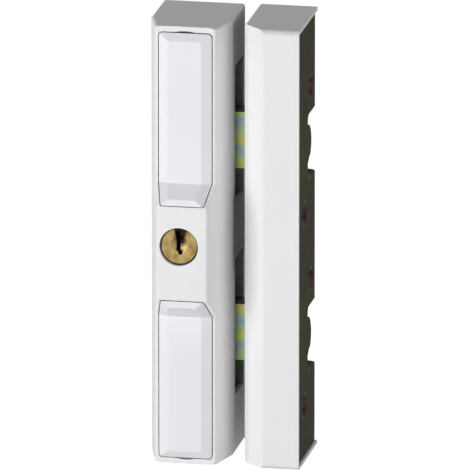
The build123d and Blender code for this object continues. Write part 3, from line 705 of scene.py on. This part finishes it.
def coil_spring_tree(finish):
    """Wound wire standing on each place."""
    tree, given, output = node_tree("coil_spring", [
        "Wire Radius", "Coil Radius", "Turns", "Height"])
    helix = add(tree, "GeometryNodeCurveSpiral", {
        "Resolution": 16, "Rotations": given["Turns"], "Start Radius": given["Coil Radius"],
        "End Radius": given["Coil Radius"], "Height": given["Height"]})
    section = add(tree, "GeometryNodeCurvePrimitiveCircle", {
        "Resolution": 8, "Radius": given["Wire Radius"]})
    wire = add(tree, "GeometryNodeCurveToMesh", {
        "Curve": helix.outputs[0], "Profile Curve": section.outputs[0], "Fill Caps": True})
    copies = add(tree, "GeometryNodeInstanceOnPoints", {
        "Points": given["Places"], "Instance": wire.outputs[0]})
    end_tree(tree, output, copies.outputs[0], finish)
    return tree


def turned_pin_tree(finish):
    """A turned pin on each place, as long as the place says, with a coned foot and a broken top.

    Every pin starts as one rod of four rings, at -1.5, -0.5, 0.5 and 1.5. Counted from 0 to 3,
    each ring then gets its own width and height. The count adds a little over 1.5, so that
    rounding loses no ring."""
    tree, given, output = node_tree("turned_pin", ["Radius", "Foot Radius", "Foot Height", "Edge"])
    rod = add(tree, "GeometryNodeMeshCylinder", {
        "Vertices": 24, "Side Segments": 3, "Radius": 1.0, "Depth": 3.0})
    spot = add(tree, "GeometryNodeInputPosition").outputs[0]
    known = add(tree, "GeometryNodeStoreNamedAttribute", {
        "Geometry": rod.outputs["Mesh"], "Name": "on_rod", "Value": spot}, data_type="FLOAT_VECTOR")
    placed = add(tree, "GeometryNodeStoreNamedAttribute", {
        "Geometry": given["Places"], "Name": "foot", "Value": spot}, data_type="FLOAT_VECTOR")
    copies = add(tree, "GeometryNodeInstanceOnPoints", {
        "Points": placed.outputs[0], "Instance": known.outputs[0]})
    real = add(tree, "GeometryNodeRealizeInstances", {"Geometry": copies.outputs[0]})

    def carried(name, kind):
        stored = add(tree, "GeometryNodeInputNamedAttribute", {"Name": name}, data_type=kind)
        return stored.outputs[0]

    on_rod, length = carried("on_rod", "FLOAT_VECTOR"), carried("length", "FLOAT")
    rise = add(tree, "ShaderNodeSeparateXYZ", {0: on_rod}).outputs["Z"]
    ring = add(tree, "ShaderNodeMath", {0: rise, 1: 1.6}, operation="ADD").outputs[0]
    neck = add(tree, "ShaderNodeMath", {0: given["Radius"], 1: given["Edge"]},
               operation="SUBTRACT").outputs[0]
    shoulder = add(tree, "ShaderNodeMath", {0: length, 1: given["Edge"]},
                   operation="SUBTRACT").outputs[0]
    chosen = []
    for values in ([given["Foot Radius"], given["Radius"], given["Radius"], neck],
                   [0.0, given["Foot Height"], shoulder, length]):
        by_ring = add(tree, "GeometryNodeIndexSwitch", {"Index": ring}, data_type="FLOAT")
        while len(by_ring.index_switch_items) < len(values):
            by_ring.index_switch_items.new()
        for number, value in enumerate(values):
            feed(tree, by_ring.inputs[number + 1], value)
        chosen.append(by_ring.outputs[0])
    width, height = chosen
    spread = add(tree, "ShaderNodeCombineXYZ", {"X": width, "Y": width})
    lift = add(tree, "ShaderNodeCombineXYZ", {"Z": height})
    shaped = add(tree, "ShaderNodeVectorMath", {
        0: on_rod, 1: spread.outputs[0], 2: lift.outputs[0]}, operation="MULTIPLY_ADD")
    moved = add(tree, "ShaderNodeVectorMath", {
        0: shaped.outputs[0], 1: carried("foot", "FLOAT_VECTOR")}, operation="ADD")
    turned = add(tree, "GeometryNodeSetPosition", {
        "Geometry": real.outputs[0], "Position": moved.outputs[0]})
    end_tree(tree, output, turned.outputs[0], finish)
    return tree


def screw_tree(name, head_sides, recess, finish):
    """A machine screw driven towards the room from each place: head, cross recess, threaded shank.

    The recess is cut by two blades that lie half inside the head, so they are twice its depth.
    The thread stops short of the shank's end by twice its own depth."""
    tree, given, output = node_tree(name, [
        "Head Radius", "Neck Radius", "Head Height", "Core Radius", "Shank Length", "Thread Depth",
        "Thread Turns", "Recess Length", "Recess Width", "Recess Depth"])
    head = add(tree, "GeometryNodeMeshCone", {
        "Vertices": head_sides, "Radius Bottom": given["Head Radius"],
        "Radius Top": given["Neck Radius"], "Depth": given["Head Height"]}).outputs["Mesh"]
    if recess:
        blades = []
        for across, along in (("Recess Length", "Recess Width"), ("Recess Width", "Recess Length")):
            depth = add(tree, "ShaderNodeMath", {0: given["Recess Depth"], 1: 2.0},
                        operation="MULTIPLY")
            size = add(tree, "ShaderNodeCombineXYZ", {
                "X": given[across], "Y": given[along], "Z": depth.outputs[0]})
            blade = add(tree, "GeometryNodeMeshCube", {"Size": size.outputs[0]})
            blades.append(blade.outputs["Mesh"])
        cross = add(tree, "GeometryNodeMeshBoolean", {"Mesh 2": blades}, operation="UNION",
                    solver="EXACT")
        head = add(tree, "GeometryNodeMeshBoolean", {
            "Mesh 1": head, "Mesh 2": cross.outputs["Mesh"]}, operation="DIFFERENCE",
            solver="EXACT").outputs["Mesh"]
    shank = add(tree, "GeometryNodeMeshCone", {
        "Vertices": 24, "Radius Bottom": given["Core Radius"], "Radius Top": given["Core Radius"],
        "Depth": given["Shank Length"]})
    runout = add(tree, "ShaderNodeMath", {
        0: given["Thread Depth"], 1: -2.0, 2: given["Shank Length"]}, operation="MULTIPLY_ADD")
    helix = add(tree, "GeometryNodeCurveSpiral", {
        "Resolution": 20, "Rotations": given["Thread Turns"], "Start Radius": given["Core Radius"],
        "End Radius": given["Core Radius"], "Height": runout.outputs["Value"]})
    ridge = add(tree, "GeometryNodeCurvePrimitiveCircle", {
        "Resolution": 3, "Radius": given["Thread Depth"]})
    thread = add(tree, "GeometryNodeCurveToMesh", {
        "Curve": helix.outputs[0], "Profile Curve": ridge.outputs[0], "Fill Caps": True})
    stem = add(tree, "GeometryNodeJoinGeometry", {
        "Geometry": [shank.outputs["Mesh"], thread.outputs[0]]})
    lift = add(tree, "ShaderNodeCombineXYZ", {"Z": given["Head Height"]})
    raised = add(tree, "GeometryNodeTransform", {
        "Geometry": stem.outputs[0], "Translation": lift.outputs[0]})
    whole = add(tree, "GeometryNodeJoinGeometry", {"Geometry": [head, raised.outputs[0]]})
    copies = add(tree, "GeometryNodeInstanceOnPoints", {
        "Points": given["Places"], "Instance": whole.outputs[0], "Rotation": (pi / 2, 0.0, 0.0)})
    end_tree(tree, output, copies.outputs[0], finish)
    return tree


def grown(name, tree, places, sizes, body, node, lengths=()):
    """Run a tree over its places and keep the result as a plain mesh that stands for a CAD node."""
    mesh = bpy.data.meshes.new(name + "_places")
    mesh.from_pydata([Vector(place) * MM for place in places], [], [])
    if lengths:
        layer = mesh.attributes.new("length", "FLOAT", "POINT")
        for item, length in zip(layer.data, lengths):
            item.value = length * MM
    piece = in_scene(name, mesh)
    nodes = piece.modifiers.new("grown", "NODES")
    nodes.node_group = tree
    for socket in tree.interface.items_tree:
        if socket.in_out == "INPUT" and socket.name in sizes:
            number = sizes[socket.name]
            is_count = socket.name.endswith("Turns")
            nodes[socket.identifier] = float(number) if is_count else number * MM
    made_plain(piece)
    finish = next(material for material in piece.data.materials if material)
    piece.data.materials.clear()
    piece.data.materials.append(finish)
    for face in piece.data.polygons:
        face.material_index = 0
    for layer in ("on_rod", "foot", "length"):
        if layer in piece.data.attributes:
            piece.data.attributes.remove(piece.data.attributes[layer])
    piece.data.shade_smooth()
    piece.data.set_sharp_from_angle(angle=radians(small_break_angle))
    stand_in(piece, body, node)


def pins_and_springs():
    """Five stacks: a key pin of its own length, a driver pin and a spring in each chamber."""
    pin = turned_pin_tree(dark_brass)
    grown("key_pins_turned", pin,
          [(cylinder_x, -off, key_pin_top - length)
           for off, length in zip(chamber_offs, key_pin_lengths)],
          key_pin_sizes, "key_plug", "key_pins", key_pin_lengths)
    grown("driver_pins_turned", pin,
          [(cylinder_x, -off, driver_foot) for off in chamber_offs],
          driver_pin_sizes, "root", "driver_pins",
          [spring_foot - driver_foot] * len(chamber_offs))
    grown("pin_springs_wound", coil_spring_tree(spring_finish),
          [(cylinder_x, -off, spring_foot + spring_wire_radius) for off in chamber_offs],
          {"Wire Radius": spring_wire_radius, "Coil Radius": spring_radius - spring_wire_radius,
           "Turns": 6, "Height": spring_top - spring_foot - 2 * spring_wire_radius},
          "root", "pin_springs")


def screws():
    """Countersunk screws through the base plate, and hexagon screws that hold the cylinder."""
    grown("base_screws_driven", screw_tree("countersunk_screw", 40, True, screw_finish),
          base_screw_places, base_screw_sizes, "root", "base_screws")
    grown("cylinder_screws_driven", screw_tree("hexagon_screw", 6, False, screw_finish),
          cylinder_screw_places, cylinder_screw_sizes, "root", "cylinder_screws")


case_shell()
for side in ("upper", "lower"):
    cap_moulding(side)
    bolt(side)
    dress(f"pivot_tube_{side}", pivot_finish)
    dress(f"crank_pin_{side}", pivot_finish)
strike_shell()
base_plate()
side_plate()
keeper_angle()
plug()
housing()
dress("pivot_washers", spring_finish)
dress("drive_plate", drive_finish)
dress("chamber_strip", brass)
dress("plug_clip", spring_finish)
dress("plug_crank", drive_finish)
pins_and_springs()
screws()


# Floor, world and lamps

floor_z = -0.20
floor_half = 3.0
floor_glow = 0.85
world_light = 0.06
lamp_distance = 1.2


def white_to_the_eye(tree):
    """1 for camera, mirror and glass rays, which see a white background, and 0 for the light."""
    path = add(tree, "ShaderNodeLightPath")
    mirror = add(tree, "ShaderNodeMath", {
        0: path.outputs["Is Camera Ray"], 1: path.outputs["Is Glossy Ray"]}, operation="MAXIMUM")
    seen = add(tree, "ShaderNodeMath", {
        0: mirror.outputs["Value"], 1: path.outputs["Is Transmission Ray"]}, operation="MAXIMUM")
    return seen.outputs["Value"]


def surroundings():
    """A pale studio: a little even light, and plain white where the eye looks past the lock."""
    world = bpy.data.worlds.new("pale_studio")
    bpy.context.scene.world = world
    world.use_nodes = True
    tree = world.node_tree
    tree.nodes.clear()
    light = add(tree, "ShaderNodeBackground", {"Color": linear("#FFFFFF"), "Strength": world_light})
    shown = add(tree, "ShaderNodeBackground", {"Color": linear("#FFFFFF"), "Strength": 1.0})
    mixed = add(tree, "ShaderNodeMixShader", {
        0: white_to_the_eye(tree), 1: light.outputs[0], 2: shown.outputs[0]})
    add(tree, "ShaderNodeOutputWorld", {"Surface": mixed.outputs[0]})


def floor():
    """A pale floor well under the hanging lock, white to the eye but for the shadow on it."""
    form = bmesh.new()
    corners = [form.verts.new((x * floor_half, y * floor_half, floor_z))
               for x, y in ((-1, -1), (1, -1), (1, 1), (-1, 1))]
    form.faces.new(corners)
    mesh = bpy.data.meshes.new("floor")
    form.to_mesh(mesh)
    form.free()
    material, tree = new_material("pale_floor")
    matt = add(tree, "ShaderNodeBsdfDiffuse", {"Color": linear("#E8E8E8")})
    glow = add(tree, "ShaderNodeEmission", {"Color": linear("#FFFFFF"), "Strength": floor_glow})
    both = add(tree, "ShaderNodeAddShader", {0: matt.outputs[0], 1: glow.outputs[0]})
    mixed = add(tree, "ShaderNodeMixShader", {
        0: white_to_the_eye(tree), 1: matt.outputs[0], 2: both.outputs[0]})
    add(tree, "ShaderNodeOutputMaterial", {"Surface": mixed.outputs[0]})
    mesh.materials.append(material)
    in_scene("floor", mesh)


def lamp(name, azimuth, elevation, size, power):
    """A soft square lamp that faces the lock; azimuth 0 is in front, and grows to the right."""
    data = bpy.data.lights.new(name, "AREA")
    data.shape = "SQUARE"
    data.size = size
    data.energy = power
    a, e = radians(azimuth), radians(elevation)
    place = Vector((sin(a) * cos(e), -cos(a) * cos(e), sin(e))) * lamp_distance
    stand = in_scene(name, data)
    stand.location = place
    stand.rotation_euler = place.to_track_quat("Z", "Y").to_euler()


surroundings()
floor()
lamp("key_lamp", azimuth=-48, elevation=10, size=0.8, power=9.75)
lamp("front_lamp", azimuth=-4, elevation=2, size=0.6, power=2.85)
lamp("fill_lamp", azimuth=58, elevation=10, size=0.9, power=5.35)
lamp("top_lamp", azimuth=180, elevation=60, size=0.3, power=2.4)


# Camera, at the photograph's angle: it shows one point of the lock at one pixel of the picture

camera_azimuth = 10.785
camera_elevation = 15.528
camera_distance = 7.4
pixels_per_metre = 2492.0
frame_pixels = 470
seen_point = Vector((12.0, -20.0, 0.25)) * MM
seen_pixel = (224.27, 233.84)


def photo_camera():
    """A long lens far off, as the photograph's, with its scale set by the pixels to a metre."""
    a, e = radians(camera_azimuth), radians(camera_elevation)
    forward = Vector((-sin(a) * cos(e), cos(a) * cos(e), -sin(e)))
    right = Vector((cos(a), sin(a), 0.0))
    up = right.cross(forward)
    middle = frame_pixels / 2
    across = (middle - seen_pixel[0]) / pixels_per_metre
    down = (middle - seen_pixel[1]) / pixels_per_metre
    aim = seen_point + right * across - up * down
    data = bpy.data.cameras.new("photo_camera")
    data.sensor_width = 36.0
    data.lens = pixels_per_metre * camera_distance / frame_pixels * data.sensor_width
    data.clip_start = 1.0
    data.clip_end = 20.0
    camera = in_scene("photo_camera", data)
    camera.location = aim - forward * camera_distance
    camera.rotation_euler = (-forward).to_track_quat("Z", "Y").to_euler()
    bpy.context.scene.camera = camera


photo_camera()
bpy.context.scene.view_settings.view_transform = "Standard"
